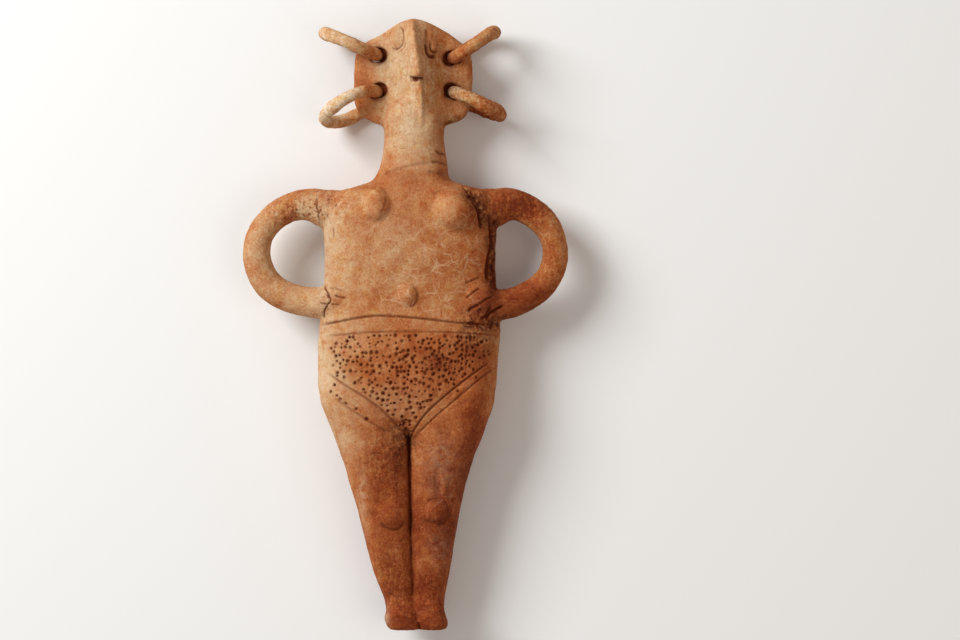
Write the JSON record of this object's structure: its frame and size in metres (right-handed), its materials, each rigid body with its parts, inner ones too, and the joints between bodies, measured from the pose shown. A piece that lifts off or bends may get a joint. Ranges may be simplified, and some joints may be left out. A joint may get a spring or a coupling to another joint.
{
  "type": "bird-headed clay figurine",
  "caption": "Handmade clay figurine of a standing woman with a bird's face and looped arms, laid on its back, with loose clay earrings through its flat ears.",
  "frame": {"origin": "middle of the whole outline seen from above, on the plane the figurine lies on", "axes": "+Y from the soles to the crown, +Z out of the belly and face, +X to the viewer's right of someone who looks down on it with the head away from them"},
  "size_m": [0.1054, 0.1978, 0.0285],
  "materials": {
    "body_clay": "unglazed, smoothed by hand, worn",
    "earring_clay": "unglazed, rough"
  },
  "bodies": {
    "root": {"figurine": "body_clay", "earring_upper_left": "earring_clay", "earring_lower_left": "earring_clay", "earring_upper_right": "earring_clay", "earring_lower_right": "earring_clay"}
  },
  "joints": []
}
